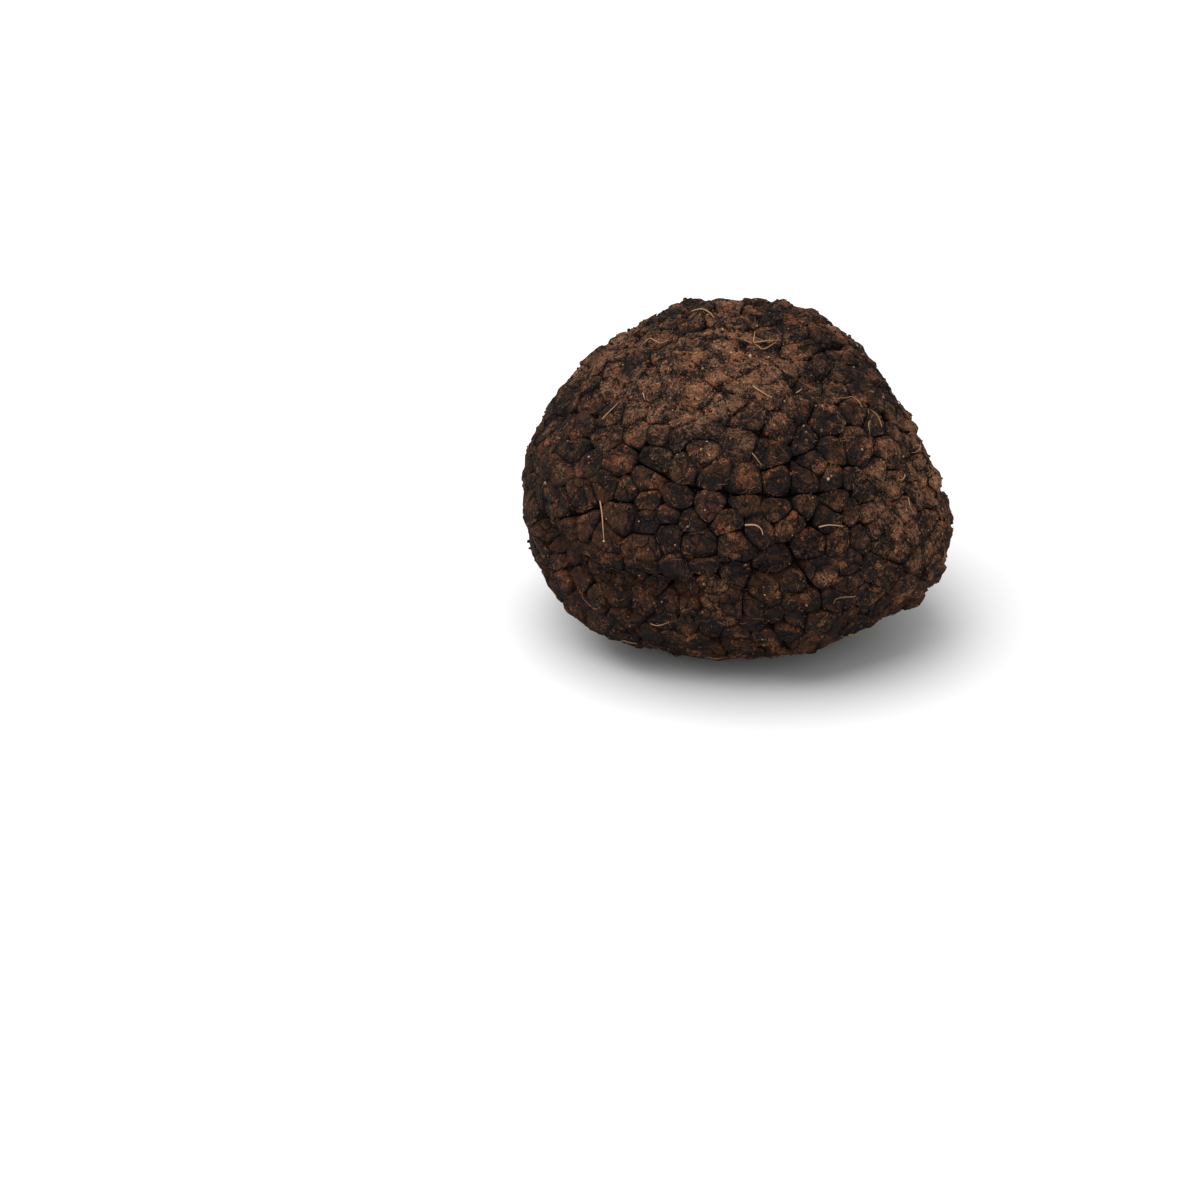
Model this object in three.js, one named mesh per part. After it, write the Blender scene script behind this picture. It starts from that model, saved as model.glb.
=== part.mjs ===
// A whole black truffle, as dug and brushed. It is one solid: a lumpy body whose rind is cracked into
// several hundred polygonal warts, which meet in narrow grooves.
// Millimetres, +Z up. The truffle rests on a small flat spot in the plane z = 0, and the middle of its
// width and depth is over the origin. Its long side lies along X, and its front faces -Y.

import * as THREE from "three";
import { ConvexHull } from "three/addons/math/ConvexHull.js";
import { ImprovedNoise } from "three/addons/math/ImprovedNoise.js";

// Overall size
const WIDTH = 60;
const DEPTH = 56;
const HEIGHT = 46;

// The body is an egg shape round its waist, the widest level. Its underside would reach a little below
// the resting plane, and is flat there instead.
const WAIST_HEIGHT = 18.8;
const DOME_HEIGHT = 27.6;
const UNDERSIDE_DEPTH = 20.1;
const WAIST_X = 29.1;
const WAIST_Y = 27.2;

// Broad swellings and hollows. Each is centred on a direction from the body's middle, given by its azimuth
// from +X towards +Y and its elevation above the waist in degrees, and fades out over its spread.
const LOBES = [
  { name: "flattened right slope", azimuth: 12, elevation: 20, spread: 27, rise: -4.1 },
  { name: "right lower swelling", azimuth: -8, elevation: -14, spread: 20, rise: 1.6 },
  { name: "left swelling", azimuth: 176, elevation: 14, spread: 20, rise: 0.8 },
  { name: "left front underside", azimuth: -138, elevation: -30, spread: 20, rise: 2.2 },
  { name: "left summit", azimuth: 122, elevation: 60, spread: 16, rise: 1.8 },
  { name: "right summit", azimuth: 56, elevation: 58, spread: 14, rise: 0.8 },
  { name: "front mound", azimuth: -98, elevation: 38, spread: 16, rise: 1.5 },
  { name: "left front cheek", azimuth: -140, elevation: 12, spread: 15, rise: 1.2 },
  { name: "hollow before the summit", azimuth: -48, elevation: 76, spread: 9, rise: -1.9 },
  { name: "valley down from it", azimuth: -46, elevation: 60, spread: 7, rise: -1.3 },
  { name: "hollow at the back", azimuth: 84, elevation: 8, spread: 20, rise: -1.6 },
  { name: "back right swelling", azimuth: 48, elevation: -6, spread: 20, rise: 1.2 },
];

// Slow unevenness of the body
const UNDULATION = 0.9;
const UNDULATION_LENGTH = 15;
const UNDULATION_ORIGIN = new THREE.Vector3(3.1, 7.7, 1.3);

// The fold under the front: a crease along part of a circle, below which the body stands back. It fades out
// at both ends. A long crack runs along it, between two turns about the circle's pole.
const FOLD = {
  pole: { azimuth: -123.5, elevation: 56.2 },
  radiusDegrees: 58,
  middleAzimuth: -114,
  halfSpan: 50,
  fadedShare: 0.4,
  creaseDepth: 3,
  creaseWidth: 1.8,
  stepBack: 3.2,
  stepWidth: 9,
  crackFrom: -66,
  crackTo: 33,
  crackStep: 11,
};

// The rind: long cracks part it into blocks, and each block into warts. The warts' size varies slowly.
const BLOCK_SPACING = 12.5;
const BLOCK_TRIES = 6000;
const WART_SPACING = 4.05;
const SPACING_VARIES = 0.45; // share of a wart's spacing
const SPACING_LENGTH = 8;
const SPACING_ORIGIN = new THREE.Vector3(5.3, 2.9, 8.1);
const ROW_OFFSET = 0.47; // of a wart's spacing, from a long crack to the warts beside it
const ROW_UNEVENNESS = 0.2; // share of a wart's spacing
const CLOSEST_WARTS = 0.68; // of a wart's spacing
const LOOSEST_WARTS = 0.9; // of a wart's spacing
const WART_TRIES = 26000;
const LONG_CRACK_DEPTH = 1.3;
const GROOVE_DEPTH = 0.85;
const LONG_CRACK_REACH = 1.1;
const VALLEY_DEPTH = 0.45; // of the gentle valley that each long crack lies in
const VALLEY_WIDTH = 1.9;
const SHORTEST_GROOVE = 0.5;
const NARROWEST_SHOULDER = 0.23; // share of the way from a groove to the wart's middle
const WIDEST_SHOULDER = 0.31;
const FLATTEST_CROWN = 0.1;
const STEEPEST_CROWN = 0.5;
const WART_TILT = 0.14;
const WART_UNEVENNESS = 0.25;

// Where soil fills the grooves, each patch fading out over its spread in degrees
const SMOOTH_PATCHES = [
  { azimuth: -97, elevation: 37, spread: 9 },
  { azimuth: -118, elevation: 58, spread: 15 },
  { azimuth: -80, elevation: 66, spread: 13 },
  { azimuth: 150, elevation: 30, spread: 14 },
  { azimuth: 60, elevation: 40, spread: 16 },
  { azimuth: 20, elevation: -25, spread: 14 },
];
const SMOOTHING = 0.6; // share of the relief that a patch's middle loses

// Long cracks of the front, each through the directions given as [azimuth, elevation] in degrees
const FRONT_CRACKS = {
  longArch: [
    [-129, 33], [-115, 30], [-106, 29], [-97, 28], [-83, 28],
    [-74, 27], [-57, 26], [-52, 19], [-44, 17], [-35, 18],
  ],
  secondArch: [[-119, 23], [-108, 24], [-99, 24], [-90, 20], [-83, 19], [-73, 19], [-60, 17], [-51, 15]],
  rowAbove: [[-82, 37], [-73, 36], [-53, 33]],
  upperZigzag: [[-121, 41], [-112, 37], [-107, 44], [-96, 47], [-82, 44], [-73, 40], [-64, 42], [-52, 41]],
  leftRun: [[-129, 33], [-128, 27], [-129, 21]],
  leftFork: [[-129, 33], [-129, 40], [-135, 51]],
  leftArch: [[-152, 18], [-150, 9], [-136, 16], [-129, 21], [-119, 23]],
  leftCheek: [[-141, 8], [-141, 0], [-139, -6]],
};

const SEED = 58;
const RIND_COLOUR = 0x3b2a22;

const noise = new ImprovedNoise();

// A repeatable stream of numbers from 0 to 1
function randomStream(seed) {
  let state = seed;
  return () => {
    state = (state + 0x6d2b79f5) | 0;
    let t = Math.imul(state ^ (state >>> 15), 1 | state);
    t = (t + Math.imul(t ^ (t >>> 7), 61 | t)) ^ t;
    return ((t ^ (t >>> 14)) >>> 0) / 2 ** 32;
  };
}

const random = randomStream(SEED);

function between(low, high) {
  return low + (high - low) * random();
}

function direction(azimuth, elevation) {
  const a = THREE.MathUtils.degToRad(azimuth);
  const e = THREE.MathUtils.degToRad(elevation);
  return new THREE.Vector3(Math.cos(a) * Math.cos(e), Math.sin(a) * Math.cos(e), Math.sin(e));
}

function randomDirection() {
  const z = between(-1, 1);
  const a = between(0, 2 * Math.PI);
  const r = Math.sqrt(1 - z * z);
  return new THREE.Vector3(r * Math.cos(a), r * Math.sin(a), z);
}

function degreesBetween(a, b) {
  return THREE.MathUtils.radToDeg(a.angleTo(b));
}

function eggRadius(d) {
  const heightAxis = d.z > 0 ? DOME_HEIGHT : UNDERSIDE_DEPTH;
  return 1 / Math.hypot(d.x / WAIST_X, d.y / WAIST_Y, d.z / heightAxis);
}

function lobeRise(d) {
  let rise = 0;
  for (const lobe of LOBES) {
    const away = degreesBetween(d, direction(lobe.azimuth, lobe.elevation)) / lobe.spread;
    rise += lobe.rise * Math.exp(-away * away);
  }
  return rise;
}

// How far the fold sets the surface back: most in the crease itself, and less and less below it
function foldSetback(d, radius) {
  const pole = direction(FOLD.pole.azimuth, FOLD.pole.elevation);
  const below = THREE.MathUtils.degToRad(degreesBetween(d, pole) - FOLD.radiusDegrees) * radius;
  const azimuth = THREE.MathUtils.radToDeg(Math.atan2(d.y, d.x));
  const along = THREE.MathUtils.euclideanModulo(azimuth - FOLD.middleAzimuth + 180, 360) - 180;
  const fromEnd = FOLD.halfSpan - Math.abs(along);
  const fade = THREE.MathUtils.smoothstep(fromEnd, 0, FOLD.halfSpan * FOLD.fadedShare);
  const crease = FOLD.creaseDepth * Math.exp(-((below / FOLD.creaseWidth) ** 2));
  const step = below > 0 ? FOLD.stepBack * Math.exp(-((below / FOLD.stepWidth) ** 2)) : 0;
  const lip = below > 0 ? THREE.MathUtils.smoothstep(below, 0, FOLD.creaseWidth) : 0;
  return fade * (crease + step * lip);
}

// Distance from the body's middle to its surface, before the warts
function bodyRadius(d) {
  const egg = eggRadius(d);
  const p = d.clone().multiplyScalar(egg / UNDULATION_LENGTH).add(UNDULATION_ORIGIN);
  return egg + lobeRise(d) - foldSetback(d, egg) + UNDULATION * noise.noise(p.x, p.y, p.z);
}

function onBody(d) {
  return d.clone().multiplyScalar(bodyRadius(d));
}

// Directions scattered so that none is closer on the body to an earlier one than its gap
function scatter(gap, tries, placed = []) {
  const points = placed.map((d) => onBody(d));
  const scattered = [...placed];
  for (let i = 0; i < tries; i++) {
    const d = randomDirection();
    const p = onBody(d);
    const closest = gap(d);
    if (points.every((q) => q.distanceTo(p) >= closest)) {
      scattered.push(d);
      points.push(p);
    }
  }
  return scattered;
}

// The Voronoi cells of directions on a sphere. The hull of the directions gives each three that meet, and
// its face's normal points at the corner between them. Corners closer than the shortest edge become one.
function cellsRound(centres, shortestEdge) {
  const indexOf = new Map(centres.map((d, i) => [d, i]));
  const hull = new ConvexHull().setFromPoints(centres);
  const corners = hull.faces.map((face) => face.normal.clone().normalize());
  const parent = corners.map((_, i) => i);
  const find = (i) => (parent[i] === i ? i : (parent[i] = find(parent[i])));
  const around = centres.map(() => []);
  hull.faces.forEach((face, f) => {
    let edge = face.edge;
    do {
      around[indexOf.get(edge.head().point)].push(f);
      edge = edge.next;
    } while (edge !== face.edge);
  });
  const cells = centres.map((centre, c) => {
    const side = new THREE.Vector3(0, 0, 1).cross(centre).normalize();
    const up = centre.clone().cross(side);
    const angle = (f) => Math.atan2(corners[f].dot(up), corners[f].dot(side));
    return around[c].sort((f, g) => angle(f) - angle(g));
  });
  for (const ring of cells) {
    ring.forEach((f, k) => {
      const g = ring[(k + 1) % ring.length];
      if (onBody(corners[f]).distanceTo(onBody(corners[g])) < shortestEdge) parent[find(f)] = find(g);
    });
  }
  const merged = corners.map(() => new THREE.Vector3());
  corners.forEach((corner, f) => merged[find(f)].add(corner));
  merged.forEach((sum) => sum.normalize());
  const rings = cells.map((ring) =>
    ring.map(find).filter((f, k, all) => f !== all[(k + 1) % all.length]),
  );
  return { corners: merged, rings };
}

// Points along the great arc from a to b, about the spacing asked for apart
function alongArc(a, b, spacing) {
  const length = onBody(a).distanceTo(onBody(b));
  const count = Math.max(1, Math.round(length / spacing));
  return Array.from({ length: count }, (_, k) => {
    const share = (k + 0.5 + between(-ROW_UNEVENNESS, ROW_UNEVENNESS)) / count;
    return a.clone().lerp(b, share).normalize();
  });
}

function wartSpacing(d) {
  const p = onBody(d).divideScalar(SPACING_LENGTH).add(SPACING_ORIGIN);
  return WART_SPACING * (1 + SPACING_VARIES * noise.noise(p.x, p.y, p.z));
}

// The crease of the fold, as directions a few degrees apart
function foldCrack() {
  const pole = direction(FOLD.pole.azimuth, FOLD.pole.elevation);
  const side = new THREE.Vector3(0, 0, 1).cross(pole).normalize();
  const start = pole.clone().applyAxisAngle(side, THREE.MathUtils.degToRad(FOLD.radiusDegrees));
  const crack = [];
  for (let turn = FOLD.crackFrom; turn <= FOLD.crackTo; turn += FOLD.crackStep) {
    crack.push(start.clone().applyAxisAngle(pole, THREE.MathUtils.degToRad(turn)));
  }
  return crack;
}

// Long cracks, as arcs from one direction to another: the front's own, and elsewhere the edges of the blocks
function longCracks() {
  const lines = Object.values(FRONT_CRACKS).map((line) => line.map(([a, e]) => direction(a, e)));
  const front = [foldCrack(), ...lines].flatMap((line) =>
    line.slice(1).map((to, k) => ({ from: line[k], to })),
  );
  const { corners, rings } = cellsRound(scatter(() => BLOCK_SPACING, BLOCK_TRIES), SHORTEST_GROOVE);
  const edges = rings.flatMap((ring) =>
    ring.map((f, k) => [f, ring[(k + 1) % ring.length]]).filter(([f, g]) => f < g),
  );
  const elsewhere = edges
    .map(([f, g]) => ({ from: corners[f], to: corners[g] }))
    .filter(({ from, to }) => {
      const middle = from.clone().add(to).normalize();
      return distanceToCrack(middle, front) > BLOCK_SPACING / 2;
    });
  return [...front, ...elsewhere];
}

function distanceToCrack(d, cracks) {
  const p = onBody(d);
  const line = new THREE.Line3();
  const nearest = new THREE.Vector3();
  let distance = Infinity;
  for (const crack of cracks) {
    line.set(crack.from, crack.to);
    line.closestPointToPoint(d, true, nearest).setLength(p.length());
    distance = Math.min(distance, nearest.distanceTo(p));
  }
  return distance;
}

// Wart centres: pairs along every long crack, as mirror images in it, and others to fill the blocks
function wartCentres(cracks) {
  const centres = [];
  const points = [];
  for (const crack of cracks) {
    const across = crack.from.clone().cross(crack.to).normalize();
    for (const middle of alongArc(crack.from, crack.to, WART_SPACING)) {
      const spacing = wartSpacing(middle);
      const offset = (ROW_OFFSET * spacing) / bodyRadius(middle);
      const pair = [offset, -offset].map((side) => middle.clone().addScaledVector(across, side).normalize());
      const pairPoints = pair.map(onBody);
      const free = (p) => points.every((q) => q.distanceTo(p) >= CLOSEST_WARTS * spacing);
      if (pairPoints.every(free)) {
        centres.push(...pair);
        points.push(...pairPoints);
      }
    }
  }
  return scatter((d) => between(CLOSEST_WARTS, LOOSEST_WARTS) * wartSpacing(d), WART_TRIES, centres);
}

// The share of its full relief that the rind has at d
function reliefShare(d) {
  let share = 1;
  for (const patch of SMOOTH_PATCHES) {
    const away = degreesBetween(d, direction(patch.azimuth, patch.elevation)) / patch.spread;
    share -= SMOOTHING * Math.exp(-away * away);
  }
  return Math.max(share, 1 - SMOOTHING);
}

function valley(d, cracks) {
  return VALLEY_DEPTH * Math.exp(-((distanceToCrack(d, cracks) / VALLEY_WIDTH) ** 2));
}

// One wart: its outline in the grooves, a ring of shoulders inside that, and a crown in the middle
function addWart(surface, centre, ring, cornerAt, cracks) {
  const outline = ring.map((f) => surface.directions[cornerAt[f]]);
  const middle = outline.reduce((sum, d) => sum.add(d), new THREE.Vector3()).normalize();
  middle.lerp(centre, 0.5).normalize();
  const relief = reliefShare(middle);
  const lean = randomDirection().multiplyScalar(WART_TILT);
  const lift = between(-WART_UNEVENNESS, WART_UNEVENNESS);
  const shoulders = outline.map((corner) => {
    const inset = between(NARROWEST_SHOULDER, WIDEST_SHOULDER);
    const d = corner.clone().lerp(middle, inset).normalize();
    const away = d.clone().sub(middle).multiplyScalar(bodyRadius(middle));
    return surface.add(d, relief * (lift + away.dot(lean)) - valley(d, cracks));
  });
  const crownHeight = lift + between(FLATTEST_CROWN, STEEPEST_CROWN);
  const crown = surface.add(middle, relief * crownHeight - valley(middle, cracks));
  ring.forEach((f, k) => {
    const next = (k + 1) % ring.length;
    const a = cornerAt[f];
    const b = cornerAt[ring[next]];
    surface.face(a, b, shoulders[next]);
    surface.face(a, shoulders[next], shoulders[k]);
    surface.face(shoulders[k], shoulders[next], crown);
  });
}

// Collects directions with a height above the body, and the triangles that join them
class Surface {
  directions = [];
  heights = [];
  triangles = [];

  add(d, height) {
    this.directions.push(d);
    this.heights.push(height);
    return this.directions.length - 1;
  }

  face(a, b, c) {
    this.triangles.push(a, b, c);
  }

  // Points in millimetres. Nothing reaches below the resting plane.
  points() {
    return this.directions.map((d, i) => {
      const radius = bodyRadius(d) + this.heights[i];
      const floor = d.z < 0 ? WAIST_HEIGHT / -d.z : Infinity;
      return d.clone().multiplyScalar(Math.min(radius, floor));
    });
  }
}

function truffleGeometry() {
  const cracks = longCracks();
  const centres = wartCentres(cracks);
  const { corners, rings } = cellsRound(centres, SHORTEST_GROOVE);
  const surface = new Surface();
  const cornerAt = new Map();
  for (const f of new Set(rings.flat())) {
    const long = distanceToCrack(corners[f], cracks) < LONG_CRACK_REACH;
    const depth = reliefShare(corners[f]) * (long ? LONG_CRACK_DEPTH : GROOVE_DEPTH);
    cornerAt[f] = surface.add(corners[f], -depth - valley(corners[f], cracks));
  }
  rings.forEach((ring, i) => addWart(surface, centres[i], ring, cornerAt, cracks));
  const geometry = new THREE.BufferGeometry().setFromPoints(surface.points());
  geometry.setIndex(surface.triangles);
  fitToBox(geometry);
  geometry.computeVertexNormals();
  return geometry;
}

// Scales the body to its overall size, with its flat spot at z = 0 and its width and depth centred
function fitToBox(geometry) {
  geometry.computeBoundingBox();
  const box = geometry.boundingBox;
  const size = box.getSize(new THREE.Vector3());
  const middle = box.getCenter(new THREE.Vector3());
  geometry.translate(-middle.x, -middle.y, -box.min.z);
  geometry.scale(WIDTH / size.x, DEPTH / size.y, HEIGHT / size.z);
}

const truffle = new THREE.Mesh(
  truffleGeometry(),
  new THREE.MeshStandardMaterial({ color: RIND_COLOUR, roughness: 0.9, metalness: 0 }),
);
truffle.name = "truffle";

const part = new THREE.Group();
part.add(truffle);

export default part;
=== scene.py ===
"""A whole black truffle: its cracked rind, and the rootlets, fibres, soil and sand that stick to it."""

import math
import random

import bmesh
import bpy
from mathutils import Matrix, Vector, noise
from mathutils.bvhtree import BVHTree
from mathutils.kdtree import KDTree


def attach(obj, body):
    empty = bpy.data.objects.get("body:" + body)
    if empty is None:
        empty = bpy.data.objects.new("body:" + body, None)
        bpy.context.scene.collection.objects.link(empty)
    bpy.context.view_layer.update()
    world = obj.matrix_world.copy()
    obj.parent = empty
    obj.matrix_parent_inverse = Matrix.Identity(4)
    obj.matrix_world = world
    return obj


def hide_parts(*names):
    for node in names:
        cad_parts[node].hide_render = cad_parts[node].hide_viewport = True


bl_info = {
    "name": "Black Truffle",
    "version": (1, 0, 0),
    "blender": (4, 5, 0),
    "location": "3D View > Sidebar > Truffle",
    "description": "Dresses the solid of a whole black truffle with its rind and what sticks to it",
    "category": "Add Mesh",
}

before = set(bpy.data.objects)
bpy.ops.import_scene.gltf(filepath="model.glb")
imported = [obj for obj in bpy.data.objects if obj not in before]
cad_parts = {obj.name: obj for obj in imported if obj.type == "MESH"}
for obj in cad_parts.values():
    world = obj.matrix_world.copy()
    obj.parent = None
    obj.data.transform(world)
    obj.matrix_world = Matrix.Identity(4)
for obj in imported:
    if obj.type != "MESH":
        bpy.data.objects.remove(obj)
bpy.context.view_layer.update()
SKIN = "truffle_skin"

MM = 0.001
FRAME_PIXELS = 1200
SENSOR_MM = 36

# The camera looks down at the truffle's front
CAMERA_ELEVATION = math.radians(26)
CAMERA_DISTANCE = 620 * MM
PIXELS_PER_METRE = 7180  # at the middle of the body
BODY_MIDDLE = Vector((0, 0, 18.9 * MM))
BODY_MIDDLE_PIXEL = (736.5, 500)

RIGHT = Vector((1, 0, 0))
UP = Vector((0, math.sin(CAMERA_ELEVATION), math.cos(CAMERA_ELEVATION)))
FORWARD = Vector((0, math.cos(CAMERA_ELEVATION), -math.sin(CAMERA_ELEVATION)))

# Rootlets that show in front, each along the pixels named, with its width in millimetres
FRONT_ROOTLETS = {
    "straight_pale": ([(602, 419), (610, 411), (618, 403)], 0.16),
    "hanging": ([(600, 501), (602, 514), (603, 528), (604, 540)], 0.2),
    "hooked": ([(745, 525), (755, 525), (761, 529), (763, 535)], 0.24),
    "level": ([(819, 527), (829, 525), (843, 526)], 0.2),
    "star_left": ([(753, 343), (749, 342), (744, 340)], 0.18),
    "star_up": ([(753, 344), (754, 338), (755, 331)], 0.16),
    "star_right": ([(752, 343), (765, 341), (781, 340)], 0.2),
    "star_down": ([(753, 343), (758, 346), (764, 349), (776, 342)], 0.18),
    "slanting": ([(753, 386), (762, 392), (772, 398)], 0.18),
    "short": ([(796, 393), (802, 389)], 0.18),
    "curved_top": ([(650, 338), (656, 341), (661, 343), (669, 340)], 0.18),
    "arched_top": ([(692, 311), (702, 309), (710, 313), (714, 318)], 0.22),
    "mound_edge": ([(752, 453), (757, 459), (762, 466)], 0.16),
    "stub": ([(643, 393), (645, 400)], 0.2),
}

# Grains that show in front, each at its pixel, with its size in millimetres
FRONT_GRAINS = [
    ((546, 483), 0.75), ((589, 457), 0.55), ((568, 441), 0.45), ((750, 356), 0.7), ((731, 353), 0.55),
    ((757, 326), 0.5), ((806, 432), 0.35), ((816, 406), 0.3), ((828, 479), 0.5), ((831, 476), 0.35),
    ((705, 510), 0.3), ((690, 469), 0.35), ((587, 406), 0.3), ((604, 541), 0.4), ((707, 442), 0.35),
    ((621, 343), 0.3),
]

# Chips of red-brown soil that show in front, each at its pixel, with its size in millimetres
FRONT_CHIPS = [
    ((793, 515), 1.5), ((790, 518), 1.0), ((752, 344), 0.9), ((690, 471), 0.8), ((655, 432), 0.6),
    ((612, 418), 0.5),
]

# Tufts of fibres that show in front, each round its pixel, with its reach in millimetres
FRONT_TUFTS = [
    ((846, 432), 1.9), ((842, 440), 1.4), ((829, 468), 1.5), ((757, 345), 1.6), ((700, 392), 1.7),
    ((738, 398), 1.4), ((612, 420), 1.5), ((655, 345), 1.8), ((665, 335), 1.3), ((706, 372), 1.8),
    ((838, 528), 1.6), ((861, 480), 1.8), ((735, 432), 1.2), ((560, 470), 1.5), ((640, 372), 1.3),
    ((782, 362), 1.6),
]
FIBRES_IN_TUFT = 45

# The plates are flattest in front, about halfway up: azimuth and elevation from the body's middle
CALM_PLACE = (-80, 12)
CALM_SPREAD = 50  # degrees

# Where soil dust lies thickest: azimuth and elevation from the body's middle, spread in degrees, and amount
SOIL_PATCHES = [
    (-118, 58, 28, 0.7),
    (-88, 72, 20, 0.85),
    (-65, 40, 14, -0.15),
    (-150, 48, 20, 0.15),
    (-25, 18, 24, 0.8),
    (150, 35, 26, 0.6),
    (70, 45, 28, 0.6),
    (20, 10, 22, 0.3),
    (110, -10, 24, 0.4),
    (-165, 5, 35, -0.35),
]

# The short deep slit near the top, from one pixel to the other
SLIT_PIXELS = ((651, 364), (662, 376))
SLIT_WIDTH = 0.45 * MM
SLIT_DEPTH = 1.1 * MM

MERGE_DISTANCE = 0.001 * MM
GROOVE_NEIGHBOURS = 9  # a corner of a groove meets at least as many others, a wart's own points at most 8
SUBDIVISIONS = 2
PLATE_CREASE = 1.0
PLATE_SEEDS = 330  # warts nearest to the same seed grow together into one plate
BOLD_DEPTHS = (0.8 * MM, 1.25 * MM)  # a groove is plain up to the first and a bold crack from the second
CRACK_NARROWING = 0.75  # share of the way to the groove's line that the plates' edges move, just beside it

# Sizes of the clouds of noise that shape the rind, from the broadest to the finest
SWELL_SIZE = 7.5 * MM
DUST_SIZE = 5.5 * MM
FILL_SIZE = 4.5 * MM
LUMP_SIZE = 3.8 * MM
WANDER_SIZE = 3.4 * MM
STEEPNESS_SIZE = 3 * MM
JITTER_SIZE = 1.2 * MM
CRUMBLE_SIZE = 1.1 * MM
GRIT_SIZE = 0.6 * MM
FILL_SHIFT = Vector((3.1, 7.7, 1.9))  # sets the noise of the fillings and the swells apart from the rest
WANDER_SEED = 3  # without it, noise_vector's noise comes from the clock and the cracks change each time

# Seeds of what is drawn at random for each piece
PLATE_DRAWS = 5
ROOTLET_DRAWS = 11
FIBRE_DRAWS = 23
CRUMB_DRAWS = 31
SAND_DRAWS = 47

# What is scattered over the rind starts no lower than this above the floor
LOWEST_ROOTLET = 1.5 * MM
LOWEST_FIBRE = 1.0 * MM
LOWEST_CRUMB = 0.8 * MM
LOWEST_GRAIN = 1.0 * MM

OUTSIDE = 0.1  # a distance from the body's middle that is well outside it, in metres
FLOOR_SIZE = 6  # metres, as are the key light's place and size
KEY_PLACE = (-0.3, -0.15, 1.1)
KEY_SIZE = 1.2


class TruffleRindSettings(bpy.types.PropertyGroup):
    crack_depth: bpy.props.FloatProperty(
        name="Crack depth", description="How much deeper the cracks get than the solid's grooves",
        default=0.3 * MM, min=0, unit="LENGTH")
    crack_waviness: bpy.props.FloatProperty(
        name="Crack waviness", description="How far the cracks wander sideways",
        default=0.5 * MM, min=0, unit="LENGTH")
    plate_flatness: bpy.props.FloatProperty(
        name="Plate flatness", description="How much of the domes of the solid's warts is levelled",
        default=0.9, min=0, max=1)
    plate_steps: bpy.props.FloatProperty(
        name="Plate steps", description="How far plates stand out beyond, or lie behind, their neighbours",
        default=0.2 * MM, min=0, unit="LENGTH")
    swells: bpy.props.FloatProperty(
        name="Swells", description="Height of the broad swells across several plates",
        default=0.6 * MM, min=0, unit="LENGTH")
    lumps: bpy.props.FloatProperty(
        name="Lumps", description="Height of the soft lumps on each plate",
        default=0.48 * MM, min=0, unit="LENGTH")
    crumbliness: bpy.props.FloatProperty(
        name="Crumbliness", description="Height of the fine crumbly relief of the rind",
        default=0.17 * MM, min=0, unit="LENGTH")
    bare_colour: bpy.props.FloatVectorProperty(
        name="Bare rind", description="Colour of the bare, nearly black rind",
        default=(0.0125, 0.0102, 0.0098), size=3, subtype="COLOR")
    umber_colour: bpy.props.FloatVectorProperty(
        name="Umber", description="Colour of the rind's brown film",
        default=(0.0345, 0.0188, 0.0132), size=3, subtype="COLOR")
    brick_colour: bpy.props.FloatVectorProperty(
        name="Brick", description="Colour of the rind's red-brown flecks",
        default=(0.205, 0.068, 0.030), size=3, subtype="COLOR")
    soil_colour: bpy.props.FloatVectorProperty(
        name="Soil", description="Colour of the soil dust on the rind",
        default=(0.320, 0.171, 0.100), size=3, subtype="COLOR")
    tan_colour: bpy.props.FloatVectorProperty(
        name="Tan", description="Colour of the palest flecks",
        default=(0.42, 0.27, 0.15), size=3, subtype="COLOR")


class TruffleClutterSettings(bpy.types.PropertyGroup):
    fibre_count: bpy.props.IntProperty(
        name="Fibres", description="How many more short fibres there are besides the tufts in front",
        default=5200, min=0)
    crumb_count: bpy.props.IntProperty(
        name="Soil crumbs", description="How many more crumbs of soil there are all round",
        default=5000, min=0)
    grain_count: bpy.props.IntProperty(
        name="Sand grains", description="How many more grains of sand there are all round",
        default=70, min=0)
    rootlet_count: bpy.props.IntProperty(
        name="Rootlets", description="How many more are tried all round, less those near the floor",
        default=34, min=0)
    fibre_width: bpy.props.FloatProperty(
        name="Fibre width", description="Thickness of a fibre", default=0.075 * MM, min=0, unit="LENGTH")
    fibre_colour: bpy.props.FloatVectorProperty(
        name="Fibres", description="Colour of the fibres",
        default=(0.31, 0.165, 0.09), size=3, subtype="COLOR")
    rootlet_colour: bpy.props.FloatVectorProperty(
        name="Rootlets", description="Colour of the rootlets",
        default=(0.46, 0.26, 0.13), size=3, subtype="COLOR")
    grain_colour: bpy.props.FloatVectorProperty(
        name="Sand", description="Colour of the sand grains",
        default=(0.46, 0.33, 0.21), size=3, subtype="COLOR")


class TruffleStageSettings(bpy.types.PropertyGroup):
    floor_colour: bpy.props.FloatVectorProperty(
        name="Floor", description="Colour of the floor", default=(0.9, 0.9, 0.9), size=3, subtype="COLOR")
    sky_strength: bpy.props.FloatProperty(
        name="Surrounding light", description="Strength of the white surroundings", default=0.64, min=0)
    key_power: bpy.props.FloatProperty(
        name="Key light", description="Power of the large light overhead",
        default=13.5, min=0, unit="POWER")


class Socket:
    """A value of a material's nodes. Python's operators on it add Math nodes."""

    def __init__(self, graph, output):
        self.graph = graph
        self.output = output

    def __add__(self, other):
        return self.graph.math("ADD", self, other)

    def __sub__(self, other):
        return self.graph.math("SUBTRACT", self, other)

    def __rsub__(self, other):
        return self.graph.math("SUBTRACT", other, self)

    def __mul__(self, other):
        return self.graph.math("MULTIPLY", self, other)

    __radd__ = __add__
    __rmul__ = __mul__


def scaled(colour, factor):
    return tuple(factor * c for c in colour)


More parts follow.
